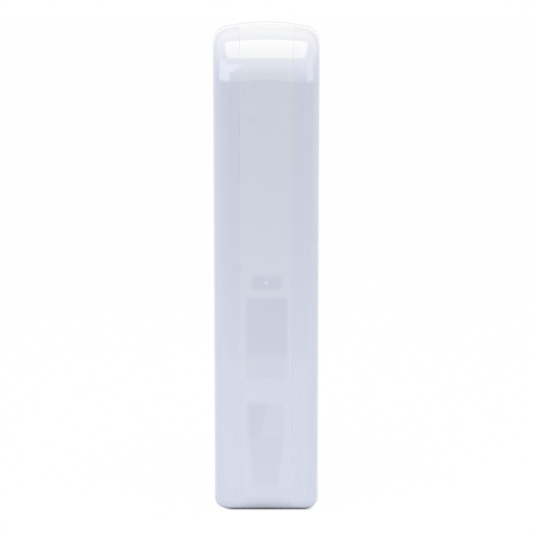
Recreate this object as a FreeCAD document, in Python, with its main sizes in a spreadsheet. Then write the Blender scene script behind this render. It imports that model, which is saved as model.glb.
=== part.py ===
import FreeCAD, Part
import Sketcher
import os
import re

# Curtain motion detector: a slim upright column with a full-height lens strip, in millimetres.
# X runs across the front, Y from the front to the wall, Z upwards. The origin is the middle of the foot.

doc = FreeCAD.newDocument("CurtainMotionDetector")
sheet = doc.addObject("Spreadsheet::Sheet", "Dimensions")

# Driving dimensions, grouped by piece
DIMENSIONS = {
    # Casing
    "casing_width": 30.0,
    "crown_radius": 52.0,
    "front_top_radius": 14.0,
    "side_radius": 4.4,
    "side_draft": 1.0,
    "foot_radius": 2.5,
    "edge_radius": 1.0,
    "wall": 1.8,
    "back_wall": 2.0,
    "base_depth": 7.0,
    "shadow_gap": 0.3,
    "joint_overlap": 0.5,
    # Lens strip and its slot
    "slot_width": 14.2,
    "slot_below_top": 4.5,
    "slot_under_foot": 1.0,
    "foot_arch_rise": 0.4,
    "lens_skin": 0.9,
    "lens_set_back": 0.1,
    "lens_fit": 0.04,
    "flange_width": 1.2,
    "field_margin": 0.4,
    "groove_depth": 0.35,
    "groove_pitch": 1.25,
    "groove_width": 0.9,
    "groove_start": 1.2,
    "lens_segment_inset": 5.8,
    # Mask, windows and chambers
    "mask_thickness": 1.0,
    "mask_fit": 0.3,
    "mask_foot_gap": 1.2,
    "mask_top_gap": 3.0,
    "lamp_window_width": 8.4,
    "lamp_window_height": 4.0,
    "lamp_gap": 1.9,
    "upper_window_width": 11.5,
    "upper_window_height": 22.2,
    "window_gap": 6.8,
    "lower_window_width": 10.4,
    "lower_window_height": 23.0,
    "lower_window_bottom": 6.8,
    "chamber_wall": 1.0,
    "chamber_throat": 12.0,
    "collar_length": 3.5,
    "collar_fit": 0.3,
    "carrier_post_radius": 2.0,
    "carrier_post_length": 9.0,
    "carrier_post_end": 2.2,
    "carrier_post_rise": 1.6,
    "bulkhead_distance": 10.0,
    "bulkhead_thickness": 2.0,
    # Sensors
    "upper_sensor_rise": 3.0,
    "lower_sensor_rise": 12.3,
    "sensor_radius": 4.6,
    "sensor_can_radius": 4.1,
    "sensor_length": 4.2,
    "sensor_rim": 0.6,
    "sensor_pin_radius": 0.22,
    "sensor_pin_circle": 2.54,
    "pin_fit": 0.1,
    "pin_stub": 0.8,
    "filter_width": 4.0,
    "filter_height": 3.0,
    "filter_thickness": 0.4,
    "filter_fit": 0.02,
    # Lamp and light guide
    "lamp_chip_width": 2.0,
    "lamp_chip_depth": 0.9,
    "lamp_chip_height": 1.6,
    "guide_radius": 1.2,
    "guide_tip_radius": 0.6,
    "guide_fit": 0.05,
    "guide_set_back": 0.4,
    # Circuit board and the posts that carry it
    "board_thickness": 1.2,
    "board_fit": 0.1,
    "board_lift": 1.0,
    "head_room": 10.8,
    "board_corner": 1.5,
    "post_radius": 2.2,
    "post_length": 8.0,
    "post_inset": 2.1,
    "post_end": 3.0,
    "post_gap": 1.5,
    "post_web": 1.2,
    # Screws
    "screw_radius": 1.0,
    "screw_length": 6.0,
    "screw_fit": 0.05,
    "through_fit": 0.15,
    "screw_head_radius": 1.9,
    "screw_head_height": 1.5,
    "screw_slot": 0.5,
    "screw_slot_length": 2.3,
    "head_fit": 0.2,
    "screw_tip_gap": 0.3,
    "cover_screw_inset": 4.0,
    "cover_screw_recess": 1.1,
    "cover_screw_length": 4.9,
    # Cell, cradle and contacts
    "cell_radius": 8.4,
    "cell_length": 33.5,
    "cell_edge": 0.7,
    "cell_button_radius": 3.2,
    "cell_button_height": 1.0,
    "cell_fit": 0.15,
    "cell_front_gap": 2.15,
    "holder_gap": 3.4,
    "holder_floor": 1.2,
    "holder_side": 1.0,
    "holder_end": 1.4,
    "spring_room": 3.0,
    "cell_spring_wire": 0.35,
    "cell_spring_turns": 1.0,
    "cell_spring_radius": 5.2,
    "cell_spring_top_radius": 2.8,
    "contact_room": 0.1,
    "contact_thickness": 0.4,
    "contact_width": 9.0,
    "contact_tail_width": 3.0,
    "contact_fit": 0.1,
    # Tamper switch, plunger and spring
    "tamper_drop": 7.1,
    "switch_width": 6.0,
    "switch_depth": 3.5,
    "switch_button_radius": 1.7,
    "switch_button_height": 0.6,
    "plunger_radius": 2.5,
    "plunger_flange_radius": 3.7,
    "plunger_flange": 1.0,
    "plunger_stem_radius": 1.3,
    "plunger_stem_gap": 0.1,
    "plunger_travel": 1.5,
    "plunger_fit": 0.08,
    "plunger_dome": 0.5,
    "plunger_guide_wall": 1.0,
    "plunger_guide_length": 2.4,
    "tamper_spring_radius": 2.6,
    "tamper_spring_wire": 0.22,
    "tamper_spring_turns": 3.0,
    "tamper_spring_length": 5.3,
    "closed_turn_gap": 0.03,
    # Rear shell
    "lip_fit": 0.1,
    "lip_thickness": 0.9,
    "lip_length": 2.5,
    "wall_hole_radius": 2.1,
    "wall_hole_spacing": 84.0,
    "wall_hole_bottom": 24.0,
    "wall_ring_radius": 4.2,
    "wall_ring_height": 1.0,
    "lug_width": 7.0,
    "lug_cap": 0.7,
    "hook_width": 8.0,
    "hook_reach": 3.5,
    "hook_thickness": 1.9,
    "hook_bump": 0.6,
    "hook_bump_length": 1.2,
    "hook_fit": 0.2,
    # Parts soldered to the back of the board
    "chip_thickness": 1.4,
    "processor_size": 9.0,
    "processor_rise": 4.4,
    "processor_place": 2.0,
    "amplifier_width": 4.0,
    "amplifier_length": 5.0,
    "amplifier_edge": 5.1,
    "crystal_width": 8.0,
    "crystal_thickness": 3.2,
    "crystal_rise": 5.4,
    "crystal_place": 1.5,
    "capacitor_radius": 3.1,
    "capacitor_length": 5.6,
    "capacitor_rise": 11.9,
    "capacitor_gap": 1.05,
    "chip_part_length": 1.6,
    "chip_part_width": 0.9,
    "chip_part_thickness": 0.6,
    "chip_part_pitch": 3.2,
    "chip_part_rise": 8.0,
    "chip_part_edge": 0.9,
    "shield_width": 15.0,
    "shield_length": 13.0,
    "shield_thickness": 2.6,
    "shield_rise": 7.4,
    "antenna_width": 20.0,
    "antenna_height": 5.0,
    "antenna_sheet": 0.5,
    "antenna_stand": 5.0,
    "antenna_top_gap": 13.1,
}

# Places and sizes that follow from the driving dimensions. The casing's depth and height add up what it holds
DERIVED = {
    # From the front to the wall
    "lens_inner": "wall - lens_set_back",
    "chamber_depth": "cell_front_gap + 2 * cell_radius + cell_fit + holder_floor",
    "back_room": "switch_depth + tamper_spring_length + plunger_flange",
    "casing_depth": "lens_inner + mask_thickness + chamber_depth + board_thickness + back_room + back_wall",
    "front": "-casing_depth / 2",
    "back": "casing_depth / 2",
    "parting": "back - base_depth",
    "inner_back": "back - back_wall",
    "mask_front": "front + lens_inner",
    "mask_back": "mask_front + mask_thickness",
    "board_front": "mask_back + chamber_depth",
    "board_back": "board_front + board_thickness",
    "switch_back": "board_back + switch_depth",
    "stem_tip": "switch_back + switch_button_height + plunger_travel + plunger_stem_gap",
    "bulkhead_front": "board_front - bulkhead_distance",
    "bulkhead_back": "bulkhead_front + bulkhead_thickness",
    "cell_centre": "board_front - holder_floor - cell_fit - cell_radius",
    "cover_screw_place": "parting - cover_screw_inset",
    "hook_front": "parting - hook_reach",
    "screw_hole_end": "board_back - screw_length - screw_tip_gap",
    "slot_end": "front + front_top_radius - slot_below_top",
    "slot_foot_end": "front + foot_radius + slot_under_foot",
    # From the foot to the crown
    "cover_screw_reach": "cover_screw_recess + cover_screw_length",
    "lug_hole_top": "cover_screw_reach + screw_tip_gap",
    "lug_top": "lug_hole_top + lug_cap",
    "board_bottom": "lug_top + board_lift",
    "lower_post_height": "board_bottom + post_end",
    "carrier_lower_screw": "board_bottom + carrier_post_end",
    "lower_sensor_height": "lower_window_bottom + lower_sensor_rise",
    "upper_window_bottom": "lower_window_bottom + lower_window_height + window_gap",
    "upper_sensor_height": "upper_window_bottom + upper_sensor_rise",
    "lamp_window_bottom": "upper_window_bottom + upper_window_height + lamp_gap",
    "lamp_height": "lamp_window_bottom + lamp_window_height / 2",
    "tunnel_top": "lamp_window_bottom + lamp_window_height + chamber_wall",
    "carrier_upper_screw": "tunnel_top + carrier_post_rise",
    "tamper_height": "carrier_upper_screw - tamper_drop",
    "holder_bottom": "carrier_upper_screw + carrier_post_radius + holder_gap",
    "cell_bottom": "holder_bottom + holder_end + spring_room",
    "cell_top": "cell_bottom + cell_length",
    "contact_bottom": "cell_top + cell_button_height + contact_room",
    "contact_top": "contact_bottom + contact_thickness",
    "holder_top": "contact_top + holder_end",
    "upper_post_height": "holder_top + post_gap + post_radius",
    "board_top": "upper_post_height + post_end",
    "casing_height": "board_top + head_room",
    "mask_bottom": "wall + mask_foot_gap",
    "mask_top": "casing_height - front_top_radius - mask_top_gap",
    "lip_outer": "wall + lip_fit",
    "lip_inner": "lip_outer + lip_thickness",
    "hook_top": "casing_height - lip_outer - hook_fit",
    "wall_hole_top": "wall_hole_bottom + wall_hole_spacing",
    "processor_bottom": "lower_sensor_height + processor_rise",
    "crystal_bottom": "upper_sensor_height + crystal_rise",
    "capacitor_height": "upper_sensor_height + capacitor_rise",
    "chip_part_bottom": "upper_sensor_height + chip_part_rise",
    "shield_bottom": "holder_bottom + shield_rise",
    "antenna_bottom": "board_top - antenna_height - antenna_top_gap",
    # Across
    "rebate_width": "slot_width + 2 * flange_width",
    "foot_arch_radius": "slot_width ^ 2 / (8 * foot_arch_rise) + foot_arch_rise / 2",
    "mask_width": "rebate_width - 2 * mask_fit",
    "board_width": "casing_width - 2 * (wall + side_draft + board_fit)",
    "post_place": "board_width / 2 - post_inset",
    "guide_bore": "plunger_flange_radius + plunger_fit",
    "amplifier_place": "board_width / 2 - amplifier_edge",
    "chip_part_place": "board_width / 2 - chip_part_edge",
    "capacitor_place": "chip_part_place - chip_part_width / 2 - capacitor_gap - capacitor_radius",
}

# How far a cutting or limiting shape runs past what it cuts
SPARE = 2.0
RINGS_PER_SEGMENT = 4
CHIPS_PER_COLUMN = 6
CLOSED_HALF_TURNS = 2
# An edge that reaches less than this along an axis lies flat across it
FLAT = 0.01


# The spreadsheet

def fill_sheet():
    rows = [(name, str(size)) for name, size in DIMENSIONS.items()]
    rows += [(name, "=" + text) for name, text in DERIVED.items()]
    for number, (name, content) in enumerate(rows, start=1):
        sheet.set(f"A{number}", name)
        sheet.set(f"B{number}", content)
        sheet.setAlias(f"B{number}", name)
    doc.recompute()


def value(name):
    return float(sheet.get(name))


def formula(text):
    """Adds the sheet's name to each dimension in a formula."""
    def full_name(match):
        word = match.group()
        return f"Dimensions.{word}" if word in DIMENSIONS or word in DERIVED else word
    return re.sub(r"[a-z_]+", full_name, str(text))


def bind(target, name, text):
    target.setExpression(name, formula(text))


def place(target, x="0", y="0", z="0"):
    for axis, text in (("x", x), ("y", y), ("z", z)):
        bind(target, f"Placement.Base.{axis}", text)
    return target


# Primitives and booleans bound to the sheet

ALONG = {
    "z": FreeCAD.Rotation(),
    "y": FreeCAD.Rotation(FreeCAD.Vector(1, 0, 0), -90),
}


def box(name, x, y, z):
    """A block between a low and a high formula along each axis."""
    block = doc.addObject("Part::Box", name)
    for size, (low, high) in (("Length", x), ("Width", y), ("Height", z)):
        bind(block, size, f"({high}) - ({low})")
    return place(block, x[0], y[0], z[0])


def middle_box(name, width, y, z):
    """A block across the middle plane."""
    return box(name, (f"-({width}) / 2", f"({width}) / 2"), y, z)


def rod(name, axis, radius, start, length):
    """A cylinder that runs from its start along +Y or +Z."""
    cylinder = doc.addObject("Part::Cylinder", name)
    cylinder.Placement.Rotation = ALONG[axis]
    bind(cylinder, "Radius", radius)
    bind(cylinder, "Height", length)
    return place(cylinder, *start)


def several(kind, name, pieces):
    joined = doc.addObject(kind, name)
    joined.Shapes = pieces
    joined.Refine = True
    return joined


def fuse(name, pieces):
    return several("Part::MultiFuse", name, pieces)


def common(name, pieces):
    return several("Part::MultiCommon", name, pieces)


def cut(name, base, tools):
    trimmed = doc.addObject("Part::Cut", name)
    trimmed.Base = base
    trimmed.Tool = tools[0] if len(tools) == 1 else fuse(f"{name}_tools", tools)
    trimmed.Refine = True
    return trimmed


def group(name, pieces):
    """Like pieces that stay separate solids in one node."""
    compound = doc.addObject("Part::Compound", name)
    compound.Links = pieces
    return compound


def rounded(name, base, radius, wanted):
    """Rounds the base's edges that the test picks."""
    doc.recompute()
    fillet = doc.addObject("Part::Fillet", name)
    fillet.Base = base
    size = value(radius)
    picked = [number for number, edge in enumerate(base.Shape.Edges, start=1) if wanted(edge)]
    fillet.Edges = [(number, size, size) for number in picked]
    return fillet


# The casing's form, from which the shells and the lens are cut

def sketch_on(body, role, name):
    sketch = body.newObject("Sketcher::SketchObject", name)
    plane = next(part for part in body.Origin.OriginFeatures if part.Role == role)
    sketch.AttachmentSupport = (plane, [""])
    sketch.MapMode = "FlatFace"
    return sketch


def constrain(sketch, kind, ends, text, start):
    """Adds a driving distance bound to a formula."""
    number = sketch.addConstraint(Sketcher.Constraint(kind, *ends, start))
    sketch.setExpression(f"Constraints[{number}]", formula(text))


def join_ends(sketch, lines):
    for one, other in zip(lines, lines[1:] + lines[:1]):
        sketch.addConstraint(Sketcher.Constraint("Coincident", one, 2, other, 1))


def front_outline(body, inset):
    """The front view of the casing: a flat foot, upright sides and a crowned top."""
    sketch = sketch_on(body, "XZ_Plane", f"{body.Name}_outline")
    half, height, radius = value("casing_width") / 2, value("casing_height"), value("crown_radius")
    corners = [FreeCAD.Vector(x, y, 0) for x, y in
               ((-half, 0), (half, 0), (half, height), (-half, height))]
    crest = FreeCAD.Vector(0, height + half ** 2 / (2 * radius), 0)
    sketch.addGeometry(Part.LineSegment(corners[0], corners[1]))
    sketch.addGeometry(Part.LineSegment(corners[1], corners[2]))
    sketch.addGeometry(Part.Arc(corners[2], crest, corners[3]))
    sketch.addGeometry(Part.LineSegment(corners[3], corners[0]))
    foot, right, top, left = range(4)
    join_ends(sketch, [foot, right, top, left])
    sketch.addConstraint(Sketcher.Constraint("Vertical", right))
    sketch.addConstraint(Sketcher.Constraint("Vertical", left))
    sketch.addConstraint(Sketcher.Constraint("Symmetric", foot, 1, foot, 2, -2))
    sketch.addConstraint(Sketcher.Constraint("PointOnObject", top, 3, -2))
    constrain(sketch, "DistanceX", (foot, 1, foot, 2), f"casing_width - 2 * ({inset})", 2 * half)
    constrain(sketch, "DistanceY", (-1, 1, top, 3), "casing_height - crown_radius", height - radius)
    constrain(sketch, "DistanceY", (foot, 1, top, 3),
              f"casing_height - crown_radius - ({inset})", height - radius)
    constrain(sketch, "Radius", (top,), f"crown_radius - ({inset})", radius)
    return sketch


def side_waste(body, inset):
    """What the draft takes off both sides, seen from above."""
    sketch = sketch_on(body, "XY_Plane", f"{body.Name}_draft")
    half, deep, draft = value("casing_width") / 2, value("casing_depth") / 2, value("side_draft")
    edge = f"casing_width / 2 - ({inset})"
    for side in (1, -1):
        first = sketch.GeometryCount
        slant, front, outside, rear = lines = list(range(first, first + 4))
        corners = [FreeCAD.Vector(side * x, y, 0) for x, y in
                   ((half, deep), (half - draft, -deep), (half + SPARE, -deep), (half + SPARE, deep))]
        for start, end in zip(corners, corners[1:] + corners[:1]):
            sketch.addGeometry(Part.LineSegment(start, end))
        join_ends(sketch, lines)
        sketch.addConstraint(Sketcher.Constraint("Horizontal", front))
        sketch.addConstraint(Sketcher.Constraint("Vertical", outside))
        sketch.addConstraint(Sketcher.Constraint("Horizontal", rear))
        for text, line, size in ((edge, slant, half), (f"{edge} - side_draft", front, half - draft),
                                 (f"casing_width / 2 + {SPARE}", outside, half + SPARE)):
            ends = (-1, 1, line, 1) if side > 0 else (line, 1, -1, 1)
            constrain(sketch, "DistanceX", ends, text, size)
        constrain(sketch, "DistanceY", (-1, 1, slant, 1), "back", deep)
        constrain(sketch, "DistanceY", (front, 1, -1, 1), "back", deep)
    return sketch


def soften(body, base, name, radius, wanted):
    """Rounds the edges of a body's last feature that the test picks."""
    doc.recompute()
    fillet = body.newObject("PartDesign::Fillet", f"{body.Name}_{name}")
    picked = [f"Edge{number}" for number, edge in enumerate(base.Shape.Edges, start=1) if wanted(edge)]
    fillet.Base = (base, picked)
    bind(fillet, "Radius", radius)
    return fillet


def casing_form(name, inset, back_inset, round_foot=False):
    """The casing's outside, or the same form moved inwards by the inset. Its foot may be square or rounded."""
    body = doc.addObject("PartDesign::Body", name)
    outline = front_outline(body, inset)
    bind(outline, "AttachmentOffset.Base.z", f"-(back - ({back_inset}))")
    pad = body.newObject("PartDesign::Pad", f"{name}_block")
    pad.Profile = outline
    bind(pad, "Length", f"casing_depth - ({inset}) - ({back_inset})")
    draft = body.newObject("PartDesign::Pocket", f"{name}_sides")
    draft.Profile = side_waste(body, inset)
    draft.Type = "ThroughAll"
    draft.Reversed = True
    doc.recompute()
    front_y = min(vertex.Y for vertex in draft.Shape.Vertexes)
    mid_height = value("casing_height") / 2

    def on_front(edge):
        return edge.BoundBox.YMax < front_y + FLAT

    def along_top(edge):
        return on_front(edge) and edge.BoundBox.ZMin > mid_height

    def upright(edge):
        return on_front(edge) and edge.BoundBox.ZLength > mid_height

    brow = soften(body, draft, "brow", f"front_top_radius - ({inset})", along_top)
    cheeks = soften(body, brow, "cheeks", f"side_radius - ({inset})", upright)
    if round_foot:
        doc.recompute()
        form = cheeks.Shape.BoundBox

        def round_the_foot(edge):
            return edge.BoundBox.ZMax < form.ZMin + FLAT and edge.BoundBox.YMin < form.YMax - FLAT

        soften(body, cheeks, "foot", f"foot_radius - ({inset})", round_the_foot)
    return body


def casing_outside():
    """The outside, with the edge against the wall eased all round."""
    body = casing_form("casing_outside", "0", "0", round_foot=True)
    back_y = value("back")

    def rim(edge):
        return edge.BoundBox.YMin > back_y - FLAT

    soften(body, body.Tip, "rim", "edge_radius", rim)
    return body


# Screws, and the places of the posts that take them as (x, z) formulas

BOARD_POSTS = [(side + "post_place", height) for side in ("-", "")
               for height in ("lower_post_height", "upper_post_height")]
CARRIER_POSTS = [("0", "carrier_lower_screw"), ("0", "carrier_upper_screw")]


def board_screw(name, x, z):
    """A pan-head screw through the board, with a cross slot in its head."""
    head = rod(f"{name}_head", "y", "screw_head_radius", (x, "board_back", z), "screw_head_height")
    shank = rod(f"{name}_shank", "y", "screw_radius", (x, "board_back - screw_length", z), "screw_length")
    slot_y = ("board_back + screw_head_height / 2", f"board_back + screw_head_height + {SPARE}")
    slots = []
    for tag, wide, tall in (("flat", "screw_slot_length", "screw_slot"),
                            ("tall", "screw_slot", "screw_slot_length")):
        slots.append(box(f"{name}_{tag}_slot", (f"{x} - {wide} / 2", f"{x} + {wide} / 2"), slot_y,
                         (f"{z} - {tall} / 2", f"{z} + {tall} / 2")))
    return cut(name, fuse(f"{name}_blank", [head, shank]), slots)


def cover_screw():
    """The screw that locks the cover from below, sunk into the foot."""
    y, z = "cover_screw_place", "cover_screw_recess"
    head = rod("cover_screw_head", "z", "screw_head_radius", ("0", y, f"{z} - screw_head_height / 2"),
               "screw_head_height / 2")
    shank = rod("cover_screw_shank", "z", "screw_radius", ("0", y, z), "cover_screw_length")
    slot_z = (f"{z} - screw_head_height / 2 - {SPARE}", f"{z} - screw_head_height / 4")
    slots = []
    for tag, wide, deep in (("cross", "screw_slot_length", "screw_slot"),
                            ("deep", "screw_slot", "screw_slot_length")):
        slots.append(middle_box(f"cover_screw_{tag}_slot", wide, (f"{y} - {deep} / 2", f"{y} + {deep} / 2"),
                                slot_z))
    return cut("cover_screw", fuse("cover_screw_blank", [head, shank]), slots)


# Outer shells

def slot_room(name, width, longer):
    """The room of the lens slot from under the foot to the brow, longer at both ends by that much."""
    split = "casing_height / 2"
    over = middle_box(f"{name}_over", width, (f"front - {SPARE}", f"slot_end + ({longer})"),
                      (split, f"casing_height + {SPARE}"))
    under = middle_box(f"{name}_under", width, (f"front - {SPARE}", f"slot_foot_end + ({longer})"),
                       (f"-{SPARE}", split))
    return fuse(name, [over, under])


def front_cover(outside, cavity, lens_bed):
    """The glossy front shell: open at the back, with the lens slot and the board's posts."""
    reach = middle_box("cover_reach", f"casing_width + {SPARE}", (f"front - {SPARE}", "parting"),
                       (f"-{SPARE}", f"casing_height + {SPARE}"))
    slot = slot_room("lens_slot", "slot_width", "0")
    rebate_room = slot_room("lens_rebate_room", "rebate_width", "flange_width")
    rebate = common("lens_rebate", [lens_bed, rebate_room])
    shell = cut("cover_shell", common("cover_blank", [outside, reach]), [cavity, slot, rebate])
    posts, holes = [], []
    for number, (x, z) in enumerate(BOARD_POSTS, start=1):
        name = f"cover_post_{number}"
        posts.append(rod(name, "y", "post_radius", (x, "board_front - post_length", z), "post_length"))
        side_wall = "casing_width / 2 - side_draft / 2 - wall / 2"
        across = (f"-({side_wall})", x) if x.startswith("-") else (x, side_wall)
        posts.append(box(f"{name}_web", across, ("board_front - post_length", "board_front"),
                         (f"{z} - post_web / 2", f"{z} + post_web / 2")))
        holes.append(rod(f"{name}_hole", "y", "screw_radius + screw_fit", (x, "screw_hole_end", z),
                         "board_back - screw_hole_end"))
    holes.append(rod("cover_screw_seat", "z", "screw_head_radius + head_fit",
                     ("0", "cover_screw_place", f"-{SPARE}"), f"cover_screw_recess + {SPARE}"))
    holes.append(rod("cover_screw_hole", "z", "screw_radius + through_fit",
                     ("0", "cover_screw_place", "0"), f"wall + {SPARE}"))
    holes.append(middle_box("hook_pocket", "hook_width + 2 * hook_fit",
                            ("hook_front - hook_fit", "hook_front + hook_bump_length + hook_fit"),
                            (f"casing_height - wall - {SPARE}", "casing_height - wall + hook_bump")))
    return cut("front_cover", fuse("cover_with_posts", [shell] + posts), holes)


def rear_base(outside, lip_form, base_room):
    """The rear shell: wall, rim with a register lip, screw lug, hook, wall holes and plunger guide."""
    wide, tall = f"casing_width + {SPARE}", (f"-{SPARE}", f"casing_height + {SPARE}")
    rim_start, rim_inside = "parting + shadow_gap", "parting + shadow_gap + joint_overlap"
    floor_inside = "inner_back + joint_overlap"
    reach = middle_box("base_reach", wide, (rim_start, f"back + {SPARE}"), tall)
    tray = cut("base_tray", common("base_blank", [outside, reach]), [base_room])
    lip_reach = middle_box("lip_reach", wide, ("parting - lip_length", rim_inside), tall)
    lip = common("base_lip", [cut("lip_layer", lip_form, [base_room]), lip_reach])
    lug = middle_box("screw_lug", "lug_width", ("cover_screw_place - lug_width / 2", floor_inside),
                     ("lip_outer", "lug_top"))
    hook = middle_box("top_hook", "hook_width", ("hook_front", rim_inside),
                      ("hook_top - hook_thickness", "hook_top"))
    bump = middle_box("top_hook_bump", "hook_width", ("hook_front", "hook_front + hook_bump_length"),
                      ("hook_top - joint_overlap", "casing_height - wall + hook_bump - hook_fit"))
    solids, holes = [tray, lip, lug, hook, bump], []
    for z in ("wall_hole_bottom", "wall_hole_top"):
        solids.append(rod(f"{z}_ring", "y", "wall_ring_radius", ("0", "inner_back - wall_ring_height", z),
                          "wall_ring_height + joint_overlap"))
        holes.append(rod(f"{z}_bore", "y", "wall_hole_radius", ("0", f"inner_back - {SPARE}", z),
                         f"back_wall + 2 * {SPARE}"))
    guide_start = "inner_back - plunger_guide_length"
    solids.append(rod("plunger_guide", "y", "guide_bore + plunger_guide_wall",
                      ("0", guide_start, "tamper_height"), "plunger_guide_length + joint_overlap"))
    holes.append(rod("plunger_guide_bore", "y", "guide_bore",
                     ("0", f"{guide_start} - {SPARE}", "tamper_height"), f"plunger_guide_length + {SPARE}"))
    holes.append(rod("plunger_hole", "y", "plunger_radius + plunger_fit",
                     ("0", f"inner_back - {SPARE}", "tamper_height"), f"back_wall + 2 * {SPARE}"))
    holes.append(rod("lug_hole", "z", "screw_radius + screw_fit", ("0", "cover_screw_place", "0"),
                     "lug_hole_top"))
    return cut("rear_base", fuse("base_with_features", solids), holes)


# Lens strip

def window_box(name, part, grow, y):
    """A block through one of the mask's windows, larger all round by grow."""
    low = f"{part}_window_bottom - ({grow})"
    high = f"{part}_window_bottom + {part}_window_height + ({grow})"
    return middle_box(name, f"{part}_window_width + 2 * ({grow})", y, (low, high))


def groove_rings(name, z):
    """Nested saw-tooth rings, which bend the light of one lens segment to its sensor."""
    rings = []
    for number in range(RINGS_PER_SEGMENT):
        start = f"groove_start + {number} * groove_pitch"
        centre = ("0", "front + lens_skin - groove_depth", z)
        cone = doc.addObject("Part::Cone", f"{name}_cone_{number}")
        cone.Placement.Rotation = ALONG["y"]
        bind(cone, "Radius1", start)
        bind(cone, "Radius2", f"{start} + groove_width")
        bind(cone, "Height", "groove_depth")
        core = rod(f"{name}_core_{number}", "y", start, centre, "groove_depth")
        rings.append(cut(f"{name}_ring_{number}", place(cone, *centre), [core]))
    return fuse(f"{name}_rings", rings)


def lens_strip(outside, lens_bed, lens_back):
    """The milky lens: a flush skin in the slot and a wider flange behind the cover's edge.

    It runs from under the foot to the brow, and a shallow arch lifts its foot off the table.
    """
    skin_room = slot_room("skin_room", "slot_width - 2 * lens_fit", "-lens_fit")
    skin = common("lens_skin_band", [cut("skin_layer", outside, [lens_bed]), skin_room])
    flange_room = slot_room("flange_room", "rebate_width - 2 * lens_fit", "flange_width - lens_fit")
    flange = common("lens_flange_band", [cut("flange_layer", lens_bed, [lens_back]), flange_room])
    tools = [rod("foot_arch", "y", "foot_arch_radius",
                 ("0", f"front - {SPARE}", "foot_arch_rise - foot_arch_radius"),
                 f"foot_radius + slot_under_foot + 2 * {SPARE}")]
    for part in ("upper", "lower"):
        behind = ("front + lens_skin", f"front + lens_inner + {SPARE}")
        tools.append(window_box(f"{part}_lens_field", part, "field_margin", behind))
        middle = f"{part}_window_bottom + {part}_window_height / 2"
        for tag, sign in (("high", "+"), ("low", "-")):
            name = f"{part}_{tag}_lens"
            rings = groove_rings(name, f"{middle} {sign} lens_segment_inset")
            field = window_box(f"{name}_field", part, "0", ("front", f"front + lens_skin + {SPARE}"))
            tools.append(common(f"{name}_grooves", [rings, field]))
    return cut("lens_strip", fuse("lens_blank", [skin, flange]), tools)


# Optic carrier, lamp and sensors

def chamber(name, part, grow):
    """A four-sided funnel from a window in the mask to its sensor."""
    shape = doc.addObject("Part::Wedge", name)
    sensor = f"{part}_sensor_height"
    throat = f"(chamber_throat / 2 + {grow})"
    sizes = {
        "Xmin": f"-({part}_window_width / 2 + {grow})",
        "Xmax": f"{part}_window_width / 2 + {grow}",
        "Zmin": f"{part}_window_bottom - {grow}",
        "Zmax": f"{part}_window_bottom + {part}_window_height + {grow}",
        "X2min": f"-{throat}",
        "X2max": throat,
        "Z2min": f"{sensor} - {throat}",
        "Z2max": f"{sensor} + {throat}",
        "Ymin": "mask_front",
        "Ymax": "board_front",
    }
    for side, text in sizes.items():
        bind(shape, side, text)
    return shape


def optic_carrier():
    """The white moulding behind the lens: mask, two sensor chambers and the lamp's tunnel."""
    mask = middle_box("mask", "mask_width", ("mask_front", "mask_back"), ("mask_bottom", "mask_top"))
    solids, hollows, collars, holes = [mask], [], [], []
    for part in ("upper", "lower"):
        solids.append(chamber(f"{part}_chamber", part, "chamber_wall"))
        hollows.append(chamber(f"{part}_chamber_room", part, "0"))
        sensor = f"{part}_sensor_height"
        collars.append(rod(f"{part}_collar", "y", "chamber_throat / 2 + chamber_wall / 2",
                           ("0", "board_front - collar_length", sensor), "collar_length"))
        holes.append(rod(f"{part}_collar_bore", "y", "sensor_radius + collar_fit",
                         ("0", f"board_front - collar_length - {SPARE}", sensor),
                         f"collar_length + 2 * {SPARE}"))
    lamp_z = ("lamp_window_bottom", "lamp_window_bottom + lamp_window_height")
    solids.append(window_box("lamp_tunnel", "lamp", "chamber_wall", ("mask_front", "board_front")))
    for tag, y in (("front", ("mask_front", "bulkhead_front")), ("rear", ("bulkhead_back", "board_front"))):
        hollows.append(middle_box(f"lamp_room_{tag}", "lamp_window_width", y, lamp_z))
    hollows.append(rod("guide_seat", "y", "guide_tip_radius + guide_fit",
                       ("0", "bulkhead_front", "lamp_height"), "bulkhead_thickness"))
    for number, (x, z) in enumerate(CARRIER_POSTS, start=1):
        solids.append(rod(f"carrier_post_{number}", "y", "carrier_post_radius",
                          (x, "board_front - carrier_post_length", z), "carrier_post_length"))
        holes.append(rod(f"carrier_post_hole_{number}", "y", "screw_radius + screw_fit",
                         (x, "screw_hole_end", z), "board_back - screw_hole_end"))
    open_frame = cut("carrier_open", fuse("carrier_blank", solids), hollows)
    return cut("optic_carrier", fuse("carrier_with_collars", [open_frame] + collars), holes)


def pin_places(part):
    """The three pins of a sensor as (x, z) formulas."""
    z = f"{part}_sensor_height"
    return [("-sensor_pin_circle", z), ("sensor_pin_circle", z), ("0", f"{z} - sensor_pin_circle")]


def filter_block(name, part, grow, proud):
    z = f"{part}_sensor_height"
    return middle_box(name, f"filter_width + 2 * {grow}",
                      (f"board_front - sensor_length - {proud}",
                       f"board_front - sensor_length + filter_thickness + {grow}"),
                      (f"{z} - filter_height / 2 - {grow}", f"{z} + filter_height / 2 + {grow}"))


def infrared_sensor(part):
    """A metal can with its rim, its pins through the board and the seat of its filter."""
    name, z = f"{part}_sensor", f"{part}_sensor_height"
    rim = rod(f"{name}_rim", "y", "sensor_radius", ("0", "board_front - sensor_rim", z), "sensor_rim")
    can = rod(f"{name}_can", "y", "sensor_can_radius", ("0", "board_front - sensor_length", z),
              "sensor_length")
    pins = [rod(f"{name}_pin_{number}", "y", "sensor_pin_radius",
                (x, "board_front - sensor_rim", pin_z), "sensor_rim + board_thickness + pin_stub")
            for number, (x, pin_z) in enumerate(pin_places(part), start=1)]
    seat = filter_block(f"{name}_filter_seat", part, "filter_fit", SPARE)
    return cut(name, fuse(f"{name}_blank", [rim, can] + pins), [seat])


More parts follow.
